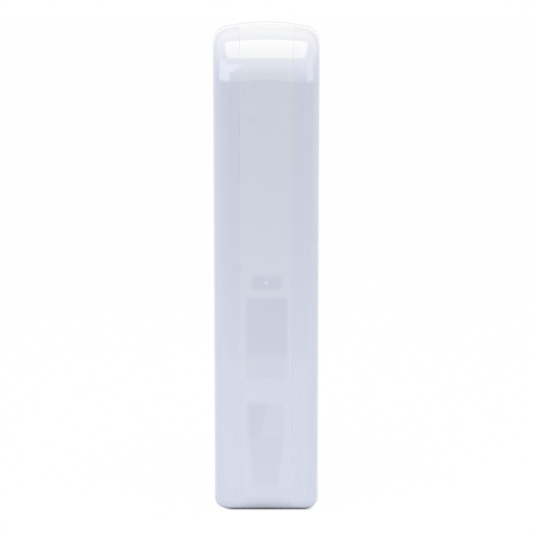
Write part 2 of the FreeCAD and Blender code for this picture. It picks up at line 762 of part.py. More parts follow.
def status_led():
    return middle_box("status_led", "lamp_chip_width", ("board_front - lamp_chip_depth", "board_front"),
                      ("lamp_height - lamp_chip_height / 2", "lamp_height + lamp_chip_height / 2"))


def light_guide():
    """A clear stepped rod from the lamp to just behind the mask."""
    foot = rod("guide_foot", "y", "guide_radius", ("0", "bulkhead_back", "lamp_height"),
               "board_front - lamp_chip_depth - guide_fit - bulkhead_back")
    tip = rod("guide_tip", "y", "guide_tip_radius", ("0", "mask_back + guide_set_back", "lamp_height"),
              "bulkhead_back - mask_back - guide_set_back")
    return fuse("light_guide", [foot, tip])


# Circuit board and what is soldered to its back

def main_board():
    """The circuit board, with its screw holes and the holes of the sensor pins."""
    blank = middle_box("board_blank", "board_width", ("board_front", "board_back"),
                       ("board_bottom", "board_top"))

    def corner(edge):
        return max(edge.BoundBox.XLength, edge.BoundBox.ZLength) < FLAT

    trimmed = rounded("board_rounded", blank, "board_corner", corner)
    places = [(x, z, "screw_radius + through_fit") for x, z in BOARD_POSTS + CARRIER_POSTS]
    for part in ("upper", "lower"):
        places += [(x, z, "sensor_pin_radius + pin_fit") for x, z in pin_places(part)]
    holes = [rod(f"board_hole_{number}", "y", radius, (x, f"board_front - {SPARE}", z),
                 f"board_thickness + 2 * {SPARE}")
             for number, (x, z, radius) in enumerate(places, start=1)]
    return cut("main_board", trimmed, holes)


def soldered(name, x, thickness, z, width, length):
    """A flat component on the back of the board, given by its middle and its lower edge."""
    return box(name, (f"{x} - {width} / 2", f"{x} + {width} / 2"),
               ("board_back", f"board_back + {thickness}"), (z, f"{z} + {length}"))


def signal_amplifiers():
    return group("signal_amplifiers", [
        soldered(f"{part}_amplifier", "-amplifier_place", "chip_thickness",
                 f"{part}_sensor_height - amplifier_length / 2", "amplifier_width", "amplifier_length")
        for part in ("upper", "lower")])


def chip_parts():
    """Two columns of small resistors and capacitors along the board's edges."""
    return group("chip_parts", [
        soldered(f"{side}_chip_{number}", sign + "chip_part_place", "chip_part_thickness",
                 f"chip_part_bottom + {number} * chip_part_pitch", "chip_part_width", "chip_part_length")
        for side, sign in (("left", "-"), ("right", "")) for number in range(CHIPS_PER_COLUMN)])


def antenna():
    """A folded sheet antenna on two legs."""
    strip = middle_box("antenna_strip", "antenna_width",
                       ("board_back + antenna_stand - antenna_sheet", "board_back + antenna_stand"),
                       ("antenna_bottom", "antenna_bottom + antenna_height"))
    edge, inside = "antenna_width / 2", "antenna_width / 2 - antenna_sheet"
    legs = [box(f"antenna_{side}_leg", across, ("board_back", "board_back + antenna_stand"),
                ("antenna_bottom", "antenna_bottom + antenna_height / 2"))
            for side, across in (("left", (f"-({edge})", f"-({inside})")), ("right", (inside, edge)))]
    return fuse("antenna", [strip] + legs)


def soldered_parts():
    return [
        soldered("microcontroller", "processor_place", "chip_thickness", "processor_bottom",
                 "processor_size", "processor_size"),
        soldered("radio_shield", "0", "shield_thickness", "shield_bottom", "shield_width", "shield_length"),
        soldered("crystal", "-crystal_place", "crystal_thickness", "crystal_bottom", "crystal_width",
                 "crystal_thickness"),
        rod("storage_capacitor", "y", "capacitor_radius",
            ("capacitor_place", "board_back", "capacitor_height"), "capacitor_length"),
        signal_amplifiers(),
        chip_parts(),
        antenna(),
    ]


# Springs

def coil(name, size, radii, length, axis, start):
    """A round-wire spring with closed ends, swept along tilted half circles that join tangentially."""
    wire, half_turns = value(f"{size}_wire"), round(2 * value(f"{size}_turns"))
    closed_rise = wire + value("closed_turn_gap") / 2
    rise = (value(length) - 2 * wire - 2 * CLOSED_HALF_TURNS * closed_rise) / half_turns
    closed = [closed_rise] * CLOSED_HALF_TURNS
    height, arcs = wire, []
    rises = closed + [rise] * half_turns + closed
    first, last = value(radii[0]), value(radii[1])
    reach = [first + (last - first) * number / len(rises) for number in range(len(rises) + 1)]
    for number, step in enumerate(rises):
        side = (-1) ** number
        low = FreeCAD.Vector(side * reach[number], 0, height)
        height += step
        high = FreeCAD.Vector(-side * reach[number + 1], 0, height)
        middle = (low + high) / 2 + FreeCAD.Vector(0, side * (high - low).Length / 2, 0)
        arcs.append(Part.Arc(low, middle, high).toShape())
    section = Part.Circle(FreeCAD.Vector(first, 0, wire), FreeCAD.Vector(0, 1, 0), wire).toShape()
    spring = doc.addObject("Part::Feature", name)
    spring.Shape = Part.Wire(arcs).makePipe(Part.Face(Part.Wire(section)))
    spring.Placement.Rotation = ALONG[axis]
    return place(spring, *start)


# Cell, cradle and contacts

def battery():
    """One round lithium cell, with eased ends and a raised contact."""
    body = rod("cell_body", "z", "cell_radius", ("0", "cell_centre", "cell_bottom"), "cell_length")
    eased = rounded("cell_eased", body, "cell_edge", lambda edge: edge.BoundBox.ZLength < FLAT)
    button = rod("cell_button", "z", "cell_button_radius", ("0", "cell_centre", "cell_top"),
                 "cell_button_height")
    return fuse("battery", [eased, button])


def battery_holder():
    """The cradle: a floor on the board, two end walls and low sides round the cell."""
    width = "2 * (cell_radius + cell_fit + holder_side)"
    inside = ("holder_bottom + holder_end", "holder_top - holder_end")
    frame = middle_box("holder_frame", width, ("cell_centre", "board_front"), ("holder_bottom", "holder_top"))
    ends = [middle_box(f"holder_{tag}_end", width, ("cell_centre - cell_radius / 2", "board_front"), z)
            for tag, z in (("lower", ("holder_bottom", inside[0])), ("upper", (inside[1], "holder_top")))]
    room = rod("cell_room", "z", "cell_radius + cell_fit", ("0", "cell_centre", inside[0]),
               f"{inside[1]} - ({inside[0]})")
    tail_slot = middle_box("contact_tail_slot", "contact_tail_width + 2 * contact_fit",
                           ("cell_centre", "board_front"), ("contact_bottom - contact_fit", inside[1]))
    return cut("battery_holder", fuse("holder_blank", [frame] + ends), [room, tail_slot])


def battery_contact():
    """The plate that the cell's raised end touches, with its tail through the cradle to the board."""
    thick = ("contact_bottom", "contact_top")
    plate = middle_box("contact_plate", "contact_width",
                       ("cell_centre - contact_width / 2", "cell_centre + contact_width / 2"), thick)
    tail = middle_box("contact_tail", "contact_tail_width", ("cell_centre", "board_front"), thick)
    return fuse("battery_contact", [plate, tail])


def battery_spring():
    """The cone-shaped spring that presses the cell against its contact."""
    return coil("battery_spring", "cell_spring", ("cell_spring_radius", "cell_spring_top_radius"),
                "spring_room", "z", ("0", "cell_centre", "holder_bottom + holder_end"))


# Tamper switch, plunger and spring

def tamper_switch():
    """A board switch with a round button towards the wall."""
    body = middle_box("switch_body", "switch_width", ("board_back", "switch_back"),
                      ("tamper_height - switch_width / 2", "tamper_height + switch_width / 2"))
    button = rod("switch_button", "y", "switch_button_radius", ("0", "switch_back", "tamper_height"),
                 "switch_button_height")
    return fuse("tamper_switch", [body, button])


def tamper_plunger():
    """The button that the wall pushes in, with its flange and its stem towards the switch."""
    button = rod("plunger_button", "y", "plunger_radius",
                 ("0", "inner_back - plunger_flange", "tamper_height"),
                 "plunger_flange + back_wall + plunger_travel")
    back_y = value("back")
    domed = rounded("plunger_domed", button, "plunger_dome",
                    lambda edge: edge.BoundBox.YMin > back_y and edge.BoundBox.XLength > FLAT)
    flange = rod("plunger_flange_disc", "y", "plunger_flange_radius",
                 ("0", "inner_back - plunger_flange", "tamper_height"), "plunger_flange")
    stem = rod("plunger_stem", "y", "plunger_stem_radius", ("0", "stem_tip", "tamper_height"),
               "inner_back - stem_tip")
    return fuse("tamper_plunger", [domed, flange, stem])


def tamper_spring():
    return coil("tamper_spring", "tamper_spring", ("tamper_spring_radius", "tamper_spring_radius"),
                "tamper_spring_length", "y", ("0", "switch_back", "tamper_height"))


# The whole detector

def build():
    fill_sheet()
    outside = casing_outside()
    forms = {name: casing_form(name, inset, "back_wall", round_foot) for name, inset, round_foot in (
        ("cover_cavity", "wall", False), ("lens_bed", "lens_skin", True), ("lens_back", "lens_inner", True),
        ("lip_form", "lip_outer", False), ("base_room", "lip_inner", False))}
    pieces = [
        front_cover(outside, forms["cover_cavity"], forms["lens_bed"]),
        lens_strip(outside, forms["lens_bed"], forms["lens_back"]),
        optic_carrier(),
        light_guide(),
        status_led(),
        main_board(),
    ]
    for part in ("upper", "lower"):
        pieces.append(infrared_sensor(part))
        pieces.append(filter_block(f"{part}_sensor_filter", part, "0", "0"))
    pieces += [battery(), battery_holder(), battery_contact(), battery_spring()]
    pieces += soldered_parts()
    pieces += [tamper_switch(), tamper_plunger(), tamper_spring()]
    pieces.append(rear_base(outside, forms["lip_form"], forms["base_room"]))
    for name, posts in (("board_screws", BOARD_POSTS), ("carrier_screws", CARRIER_POSTS)):
        pieces.append(group(name, [board_screw(f"{name}_{number}", x, z)
                                   for number, (x, z) in enumerate(posts, start=1)]))
    pieces.append(cover_screw())
    return pieces


def check(pieces):
    doc.recompute()
    for item in doc.Objects:
        if "Invalid" in item.State or "Error" in item.State:
            raise RuntimeError(f"{item.Name} didn't build: {item.State}")
    for piece in pieces:
        if piece.Shape.isNull() or not piece.Shape.isValid() or not piece.Shape.Solids:
            raise RuntimeError(f"{piece.Name} has no valid solid")


def write(pieces):
    os.makedirs("parts", exist_ok=True)
    for piece in pieces:
        piece.Label = piece.Name
        piece.Shape.exportStep(f"parts/{piece.Name}.step")
        print(f"{piece.Name}: {len(piece.Shape.Solids)} solid(s), {piece.Shape.Volume:.1f} cubic mm")


detector = build()
check(detector)
write(detector)
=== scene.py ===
import bpy
from math import cos, pi, radians, sin
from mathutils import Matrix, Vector


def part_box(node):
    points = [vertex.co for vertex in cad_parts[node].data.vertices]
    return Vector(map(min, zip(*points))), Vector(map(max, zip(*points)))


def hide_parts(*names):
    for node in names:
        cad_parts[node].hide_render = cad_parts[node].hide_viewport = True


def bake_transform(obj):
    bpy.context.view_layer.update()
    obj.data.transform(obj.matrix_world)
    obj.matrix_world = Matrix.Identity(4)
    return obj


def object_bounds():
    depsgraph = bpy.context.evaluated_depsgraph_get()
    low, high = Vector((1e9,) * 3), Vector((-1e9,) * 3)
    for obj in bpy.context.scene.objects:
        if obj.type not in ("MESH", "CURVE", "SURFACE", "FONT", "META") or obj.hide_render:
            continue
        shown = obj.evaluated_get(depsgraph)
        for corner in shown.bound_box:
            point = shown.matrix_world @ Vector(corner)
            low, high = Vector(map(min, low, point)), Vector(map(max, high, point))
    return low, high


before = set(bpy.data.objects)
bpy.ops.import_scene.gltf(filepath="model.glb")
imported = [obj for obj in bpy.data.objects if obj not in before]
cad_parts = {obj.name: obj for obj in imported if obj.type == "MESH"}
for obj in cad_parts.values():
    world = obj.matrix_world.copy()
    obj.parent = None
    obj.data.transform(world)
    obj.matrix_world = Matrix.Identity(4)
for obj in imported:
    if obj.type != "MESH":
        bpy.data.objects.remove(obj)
cad_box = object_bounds()
MM = 0.001


# Rear shell: the shallow tray that is screwed to the wall, with a hook at the crown and a lug in the foot to
# hold the cover. Injection-moulded in a bluish white ABS. Its mould was left with a fine matt grain, so that
# it is duller than the cover.
class Field:
    """One output of a shader node. Each operator on it adds the node that works the sum out."""

    def __init__(self, socket):
        self.socket = socket
        self.tree = socket.id_data

    def node(self, kind, settings, inputs, output=0):
        """Adds a shader node with these settings and these values or links, and gives one of its outputs."""
        made = self.tree.nodes.new("ShaderNode" + kind)
        for name, setting in settings.items():
            setattr(made, name, setting)
        for name, value in inputs.items():
            if isinstance(value, Field):
                self.tree.links.new(value.socket, made.inputs[name])
            else:
                made.inputs[name].default_value = value
        return Field(made.outputs[output])

    def worked(self, operation, first, second):
        """First and second through one Math node, or one Vector Math node where either is a vector."""
        vector = any(isinstance(term, Field) and term.socket.type == "VECTOR" for term in (first, second))
        if not vector:
            return self.node("Math", {"operation": operation}, {0: first, 1: second})
        if operation == "MULTIPLY" and not isinstance(second, (Field, tuple)):
            return self.node("VectorMath", {"operation": "SCALE"}, {0: first, "Scale": second})
        return self.node("VectorMath", {"operation": operation}, {0: first, 1: second})

    def __add__(self, other):
        return self.worked("ADD", self, other)

    def __radd__(self, other):
        return self.worked("ADD", other, self)

    def __sub__(self, other):
        return self.worked("SUBTRACT", self, other)

    def __rsub__(self, other):
        return self.worked("SUBTRACT", other, self)

    def __mul__(self, other):
        return self.worked("MULTIPLY", self, other)

    def __rmul__(self, other):
        return self.worked("MULTIPLY", other, self)

    def __truediv__(self, other):
        return self.worked("DIVIDE", self, other)

    def __rtruediv__(self, other):
        return self.worked("DIVIDE", other, self)

    def __abs__(self):
        return self.node("Math", {"operation": "ABSOLUTE"}, {0: self})

    def root(self):
        """The square root."""
        return self.node("Math", {"operation": "SQRT"}, {0: self})

    def or_more(self, other):
        """This field or the other, whichever is more."""
        return self.worked("MAXIMUM", self, other)

    def axes(self):
        """The x, y and z of a place or a direction."""
        return [self.node("SeparateXYZ", {}, {0: self}, axis) for axis in range(3)]

    def rise(self, low, high):
        """Goes smoothly from 0 at low to 1 at high, also where low is the larger."""
        return self.node("MapRange", {"interpolation_type": "SMOOTHSTEP"},
                         {"Value": self, "From Min": low, "From Max": high})

    def band(self, low, high, edge):
        """1 between low and high, and 0 outside them, with edges this soft."""
        return self.rise(low - edge / 2, low + edge / 2) * self.rise(high + edge / 2, high - edge / 2)

    def mottle(self, size, detail=2.0, roughness=0.5):
        """A cloudy pattern from 0 to 1 with lumps of this size, at a place on the piece."""
        return self.node("TexNoise", {}, {"Vector": self, "Scale": 1 / size, "Detail": detail,
                                          "Roughness": roughness})

    def between(self, low, high):
        """This field as the share by which one colour gives way to another."""
        return self.node("Mix", {"data_type": "RGBA"}, {0: self, 6: low, 7: high}, 2)

    def relief(self, height, strength=1.0):
        """This field as a relief of this height in metres, ready for a shader's normal."""
        return self.node("Bump", {}, {"Height": self, "Distance": height, "Strength": strength})


def shade(red, green, blue):
    """A colour given as it looks on a screen, 0 to 255, in the units that shaders work in."""
    parts = [part / 255 for part in (red, green, blue)]
    return (*(p / 12.92 if p <= 0.04045 else ((p + 0.055) / 1.055) ** 2.4 for p in parts), 1)


def finish(name, colour, sockets):
    """A new material of this colour with these values on its shader, and a field of places on the piece."""
    material = bpy.data.materials.new(name)
    material.use_nodes = True
    tree = material.node_tree
    shader = tree.nodes["Principled BSDF"]
    shader.inputs["Base Color"].default_value = colour
    for socket, value in sockets.items():
        shader.inputs[socket].default_value = value
    place = Field(tree.nodes.new("ShaderNodeTexCoord").outputs["Object"])
    return material, place


def vary(material, sockets):
    """Feeds these fields to the sockets of the material's shader."""
    tree = material.node_tree
    for socket, field in sockets.items():
        tree.links.new(field.socket, tree.nodes["Principled BSDF"].inputs[socket])


def dress(material, *nodes):
    """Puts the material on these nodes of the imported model."""
    for node in nodes:
        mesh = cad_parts[node].data
        mesh.materials.clear()
        mesh.materials.append(material)


shell_white = shade(201, 206, 224)
shell_shade = shade(197, 202, 220)
shell_cloud = 22 * MM
shell_grain = 0.35 * MM
grain_depth = 0.02 * MM
shell, place = finish("shell_plastic", shell_white, {"Roughness": 0.42, "IOR": 1.53})
clouds = place.mottle(shell_cloud)
grain = place.mottle(shell_grain, detail=1)
vary(shell, {
    "Base Color": clouds.between(shell_white, shell_shade),
    "Roughness": 0.36 + 0.14 * grain,
    "Normal": grain.relief(grain_depth, strength=0.6),
})
dress(shell, "rear_base")


# Circuit board: woven glass and epoxy, coated with green solder mask over copper tracks. It lies on the posts
# of the front cover, and four screws hold it.
mask_green = shade(24, 92, 58)
track_green = shade(38, 122, 78)
track_pitch = 3.2 * MM
track_from, track_to, track_edge = 0.30, 0.42, 0.05
copper_height = 0.035 * MM
glass_weave = 0.5 * MM
board, place = finish("solder_mask", mask_green, {"Roughness": 0.3, "IOR": 1.5})
tracks = place.node("TexVoronoi", {"distance": "MANHATTAN", "feature": "F1"},
                    {"Vector": place, "Scale": 1 / track_pitch}, "Distance")
copper = tracks.band(track_from, track_to, track_edge)
weave = place.mottle(glass_weave, detail=0)
vary(board, {
    "Base Color": copper.between(mask_green, track_green),
    "Roughness": 0.24 + 0.12 * weave,
    "Normal": (copper + 0.3 * weave).relief(copper_height),
})
dress(board, "main_board")


# Chips: the microcontroller and the two signal amplifiers, in packages of moulded black epoxy with a sandy
# skin. They are soldered flat to the back of the board.
epoxy_black = shade(34, 35, 37)
epoxy_dusty = shade(52, 53, 56)
sand_grain = 0.12 * MM
sand_depth = 0.01 * MM
chip, place = finish("moulded_epoxy", epoxy_black, {"Roughness": 0.6})
sand = place.mottle(sand_grain, detail=3)
vary(chip, {
    "Base Color": (0.5 * sand).between(epoxy_black, epoxy_dusty),
    "Roughness": 0.5 + 0.2 * sand,
    "Normal": sand.relief(sand_depth),
})
dress(chip, "microcontroller", "signal_amplifiers")


# Small ceramic parts: resistors and capacitors, which are sintered blocks the colour of sand. They are
# soldered in two columns along the edges of the board's back.
ceramic_tan = shade(176, 148, 112)
ceramic_brown = shade(150, 124, 92)
fleck_size = 0.2 * MM
fleck_depth = 0.008 * MM
ceramic, place = finish("sintered_ceramic", ceramic_tan, {"Roughness": 0.45})
fleck = place.mottle(fleck_size, detail=3)
vary(ceramic, {
    "Base Color": fleck.between(ceramic_tan, ceramic_brown),
    "Roughness": 0.35 + 0.2 * fleck,
    "Normal": fleck.relief(fleck_depth),
})
dress(ceramic, "chip_parts")


# Metal cans: the radio's shield, the crystal and the two sensors are drawn from tinned sheet, whose rolling
# leaves faint lines along it. All of them are soldered to the board.
can_tin = shade(198, 200, 203)
can_dull = shade(170, 172, 176)
rolling_line = 1.2 * MM
rolling_squeeze = (8.0, 1.0, 1.0)
rolling_depth = 0.006 * MM
can, place = finish("tinned_sheet", can_tin, {"Metallic": 1.0, "Roughness": 0.3})
rolled = (place * rolling_squeeze).mottle(rolling_line, detail=4, roughness=0.6)
vary(can, {
    "Base Color": rolled.between(can_tin, can_dull),
    "Roughness": 0.2 + 0.2 * rolled,
    "Normal": rolled.relief(rolling_depth),
})
dress(can, "radio_shield", "crystal", "upper_sensor", "lower_sensor")


# Filter windows: a slice of silicon glued into the mouth of each sensor's can, which lets body heat through.
# Its coating makes it almost black, with a violet sheen.
silicon_dark = shade(46, 42, 52)
silicon_violet = shade(78, 66, 96)
coating_cloud = 2 * MM
coated, place = finish("coated_silicon", silicon_dark, {"Roughness": 0.12, "IOR": 2.2})
cloud = place.mottle(coating_cloud)
vary(coated, {
    "Base Color": cloud.between(silicon_dark, silicon_violet),
    "Roughness": 0.08 + 0.08 * cloud,
})
dress(coated, "upper_sensor_filter", "lower_sensor_filter")


# Storage capacitor: an aluminium can in a shrunk dark blue sleeve, which stands on the back of the board. A
# paler stripe runs down the side of its minus lead.
sleeve_dark = shade(38, 44, 66)
sleeve_stripe = shade(176, 182, 196)
stripe_width = 1.2 * MM
stripe_edge = 0.3 * MM
film_size = 0.8 * MM
film_depth = 0.01 * MM
capacitor, place = finish("shrunk_sleeve", sleeve_dark, {"Roughness": 0.3, "Coat Weight": 0.3})
low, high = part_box("storage_capacitor")
side = place.axes()[0].rise(high.x - stripe_width, high.x - stripe_width + stripe_edge)
film = place.mottle(film_size, detail=3)
vary(capacitor, {
    "Base Color": side.between(sleeve_dark, sleeve_stripe),
    "Roughness": 0.24 + 0.16 * film,
    "Normal": film.relief(film_depth),
})
dress(capacitor, "storage_capacitor")


# Antenna and battery contacts: the antenna and the plus contact are bent from strip and soldered to the
# board. The minus contact is a cone of spring wire in the cradle. All are plated with nickel.
nickel = shade(202, 198, 190)
nickel_warm = shade(180, 174, 164)
drawn_line = 0.5 * MM
drawn_depth = 0.004 * MM
contact, place = finish("nickel_plate", nickel, {"Metallic": 1.0, "Roughness": 0.28})
drawn = place.mottle(drawn_line, detail=4, roughness=0.7)
vary(contact, {
    "Base Color": drawn.between(nickel, nickel_warm),
    "Roughness": 0.2 + 0.18 * drawn,
    "Normal": drawn.relief(drawn_depth),
})
dress(contact, "antenna", "battery_contact", "battery_spring")


# Battery: a steel lithium cell in a printed shrink sleeve. The sleeve is a plain dark grey with a pale band
# towards the plus end, and stops short of both bare steel ends.
cell_grey = shade(58, 62, 70)
cell_band = shade(190, 196, 204)
cell_steel = shade(196, 196, 194)
sleeve_ends = 1.0 * MM
band_below_top = 12 * MM
band_width = 6 * MM
printed_edge = 0.1 * MM
wrinkle_size = 1.6 * MM
wrinkle_depth = 0.03 * MM
cell, place = finish("cell_sleeve", cell_grey, {"Roughness": 0.3})
low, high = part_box("battery")
up = place.axes()[2]
bare = 1 - up.band(low.z + sleeve_ends, high.z - 2 * sleeve_ends, printed_edge)
band = up.band(high.z - band_below_top, high.z - band_below_top + band_width, printed_edge)
wrinkle = place.mottle(wrinkle_size, detail=3)
vary(cell, {
    "Base Color": bare.between(band.between(cell_grey, cell_band), cell_steel),
    "Metallic": bare,
    "Roughness": 0.22 + 0.14 * wrinkle,
    "Normal": wrinkle.relief(wrinkle_depth),
})
dress(cell, "battery")


# Cradle: moulded in matt dark grey nylon. Its floor lies on the front of the board, and its low sides and two
# end walls hold the cell and its contacts.
nylon_grey = shade(92, 94, 98)
nylon_light = shade(106, 108, 112)
nylon_cloud = 9 * MM
nylon_skin = 0.5 * MM
skin_depth = 0.02 * MM
holder, place = finish("cradle_nylon", nylon_grey, {"Roughness": 0.5})
skin = place.mottle(nylon_skin, detail=3)
vary(holder, {
    "Base Color": place.mottle(nylon_cloud).between(nylon_grey, nylon_light),
    "Roughness": 0.42 + 0.18 * skin,
    "Normal": skin.relief(skin_depth),
})
dress(holder, "battery_holder")


# Status lamp: a white ceramic body with a dot of yellow phosphor in its face. It is soldered to the front of
# the board, right behind the light guide.
def spot(place, across, up, radius, soft):
    """A round spot seen from the front, this far across and up, with an edge this soft."""
    x, _, z = place.axes()
    aside, above = x - across, z - up
    return (aside * aside + above * above).root().rise(radius + soft / 2, radius - soft / 2)


phosphor = shade(226, 196, 92)
lamp_white = shade(228, 227, 220)
body_grain = 0.15 * MM
body_depth = 0.008 * MM
lamp, place = finish("lamp_body", lamp_white, {"Roughness": 0.35})
low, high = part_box("status_led")
middle = (low + high) / 2
dot = spot(place, middle.x, middle.z, radius=0.6 * MM, soft=0.12 * MM)
vary(lamp, {
    "Base Color": dot.between(lamp_white, phosphor),
    "Roughness": 0.5 - 0.35 * dot,
    "Normal": place.mottle(body_grain).relief(body_depth),
})
dress(lamp, "status_led")


# Optic carrier: one white moulding behind the lens, held on the board by two screws. Its face is the mask
# with the three windows, and the two chambers behind it keep each sensor's view apart. Matt, so that it
# throws no stray light.
carrier_white = shade(218, 221, 230)
carrier_shade = shade(204, 208, 218)
carrier_cloud = 14 * MM
matt_grain = 0.4 * MM
matt_depth = 0.02 * MM
carrier, place = finish("carrier_plastic", carrier_white, {"Roughness": 0.62})
matt = place.mottle(matt_grain)
vary(carrier, {
    "Base Color": place.mottle(carrier_cloud).between(carrier_white, carrier_shade),
    "Roughness": 0.54 + 0.16 * matt,
    "Normal": matt.relief(matt_depth),
})
dress(carrier, "optic_carrier")


# Light guide: a stepped rod moulded in clear acrylic and polished. It sits in a seat of the optic carrier and
# brings the lamp's light up behind the lens.
acrylic_clear = shade(236, 240, 244)
flow_size = 1.5 * MM
flow_depth = 0.01 * MM
guide, place = finish("clear_acrylic", acrylic_clear,
                      {"Roughness": 0.05, "IOR": 1.49, "Transmission Weight": 1.0})
flow = place.mottle(flow_size)
vary(guide, {
    "Roughness": 0.03 + 0.05 * flow,
    "Normal": flow.relief(flow_depth, strength=0.4),
})
dress(guide, "light_guide")


# Screws: four hold the board, two the optic carrier, and one locks the cover from below. They are steel,
# turned and thread-rolled, with faint rings from the tool, and plated with zinc.
zinc = shade(190, 194, 200)
zinc_dull = shade(158, 162, 170)
tool_line = 0.25 * MM
tool_depth = 0.006 * MM
screw, place = finish("zinc_plate", zinc, {"Metallic": 1.0, "Roughness": 0.3})
turned = place.mottle(tool_line, detail=4, roughness=0.65)
vary(screw, {
    "Base Color": turned.between(zinc, zinc_dull),
    "Roughness": 0.22 + 0.2 * turned,
    "Normal": turned.relief(tool_depth),
})
dress(screw, "board_screws", "carrier_screws", "cover_screw")


# Tamper switch: a small push switch in a moulded black body, soldered to the back of the board. Its round
# button points at the plunger.
switch_black = shade(30, 31, 33)
switch_grey = shade(64, 66, 70)
pit_size = 0.2 * MM
pit_depth = 0.01 * MM
switch, place = finish("switch_plastic", switch_black, {"Roughness": 0.4})
pitted = place.mottle(pit_size, detail=3)
vary(switch, {
    "Base Color": (0.6 * pitted).between(switch_black, switch_grey),
    "Roughness": 0.32 + 0.2 * pitted,
    "Normal": pitted.relief(pit_depth),
})
dress(switch, "tamper_switch")


# Tamper plunger: a button moulded in white acetal, with a flange that keeps it in the rear shell's guide. It
# stands out of the back until the wall pushes it in.
acetal = shade(222, 224, 230)
acetal_worn = shade(206, 208, 214)
rub_size = 1.4 * MM
rub_depth = 0.01 * MM
plunger, place = finish("acetal", acetal, {"Roughness": 0.28, "IOR": 1.48})
rubbed = place.mottle(rub_size, detail=3)
vary(plunger, {
    "Base Color": rubbed.between(acetal, acetal_worn),
    "Roughness": 0.2 + 0.2 * rubbed,
    "Normal": rubbed.relief(rub_depth),
})
dress(plunger, "tamper_plunger")


# Tamper spring: a few turns of stainless wire between the switch and the plunger, closed at both ends. It is
# wound here as one wire, because it shortens as the plunger goes in.
def wound(name, centre, radius, wire, length, turns, closed, steps=28, sides=10):
    """A coil of wire along Y from centre, with this many closed turns at each end."""
    open_rise = (length - wire - 2 * closed * wire) / (turns - 2 * closed)
    verts, faces = [], []
    rings = int(turns * steps)
    for ring in range(rings + 1):
        turn = ring / steps
        in_start = min(turn, closed)
        in_end = max(0, turn - (turns - closed))
        along = wire / 2 + (in_start + in_end) * wire + (turn - in_start - in_end) * open_rise
        out = Vector((cos(2 * pi * turn), 0, sin(2 * pi * turn)))
        middle = Vector(centre) + radius * out + Vector((0, along, 0))
        for side in range(sides):
            swing = 2 * pi * side / sides
            verts.append(middle + wire / 2 * (cos(swing) * out + sin(swing) * Vector((0, 1, 0))))
    for ring in range(rings):
        for side in range(sides):
            here, after = ring * sides + side, ring * sides + (side + 1) % sides
            faces.append((here, after, after + sides, here + sides))
    faces.append(tuple(reversed(range(sides))))
    faces.append(tuple(range(rings * sides, (rings + 1) * sides)))
    mesh = bpy.data.meshes.new(name)
    mesh.from_pydata([tuple(v) for v in verts], [], faces)
    mesh.validate()
    mesh.update()
    mesh.shade_smooth()
    return mesh


def placed(name, data):
    """A new object of this mesh or camera, in the scene."""
    thing = bpy.data.objects.new(name, data)
    bpy.context.scene.collection.objects.link(thing)
    return thing


low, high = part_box("tamper_spring")
coil_wire = 0.5 * MM
coil_turns = 5
coil_radius = (high.x - low.x) / 2 - coil_wire / 2
coil_centre = ((low.x + high.x) / 2, low.y, (low.z + high.z) / 2)
wire_mesh = wound("tamper_coil", coil_centre, coil_radius, coil_wire, high.y - low.y, coil_turns, closed=1)
stainless = shade(188, 189, 190)
stainless_dark = shade(150, 151, 154)
wire_line = 0.3 * MM
wire_depth = 0.004 * MM
wire_steel, place = finish("spring_wire", stainless, {"Metallic": 1.0, "Roughness": 0.28})
drawing = place.mottle(wire_line, detail=4)
vary(wire_steel, {
    "Base Color": drawing.between(stainless, stainless_dark),
    "Roughness": 0.2 + 0.2 * drawing,
    "Normal": drawing.relief(wire_depth),
})
wire_mesh.materials.append(wire_steel)
tamper_coil = placed("tamper_coil", wire_mesh)
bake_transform(tamper_coil)
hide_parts("tamper_spring")


# Front cover: the deep glossy shell, hooked on at the crown and held by one screw in the foot. Moulded in the
# same bluish white ABS, in a polished mould that leaves only a faint waviness. A painted highlight runs along
# its edge beside the lens, a painted contact shadow darkens its lowest edge above the table, and a tiny speck
# sits in its right side.
def contact_shadow(height, share=0.7, top=0.8 * MM, bottom=0.3 * MM):
    """How much painted contact shadow darkens the last edge above the table: this share at the bottom, and
    nothing from the top up.
    """
    return share * height.rise(top, bottom)


cover_white = shade(198, 204, 223)
cover_cool = shade(195, 201, 221)
speck_grey = shade(176, 180, 192)
highlight_pale = shade(218, 221, 233)
contact_shadow_grey = shade(104, 100, 106)
cover_cloud = 30 * MM
cover_wave = 7 * MM
wave_height = 0.02 * MM
speck_share = 0.4
half_slot = 7.1 * MM
lip_highlight_share = 0.7
lip_from, lip_to = 0.25 * MM, 0.05 * MM
cover, place = finish("cover_plastic", cover_white,
                      {"Roughness": 0.14, "IOR": 1.53, "Coat Weight": 1.0, "Coat Roughness": 0.04})
clouds = place.mottle(cover_cloud)
wave = place.mottle(cover_wave, detail=1)
x, _, z = place.axes()
# Painted highlight along the edge beside the lens, where a rounded edge would catch light.
lip_highlight = lip_highlight_share * abs(x).rise(half_slot + lip_from, half_slot + lip_to)
speck = speck_share * spot(place, across=8.4 * MM, up=97.3 * MM, radius=0.25 * MM, soft=0.3 * MM)
tone = lip_highlight.between(clouds.between(cover_white, cover_cool), highlight_pale)
tone = speck.between(tone, speck_grey)
# The lowest edge gets a painted contact shadow.
vary(cover, {
    "Base Color": contact_shadow(z).between(tone, contact_shadow_grey),
    "Roughness": 0.05 + 0.03 * clouds,
    "Normal": wave.relief(wave_height, strength=0.5),
})
dress(cover, "front_cover")
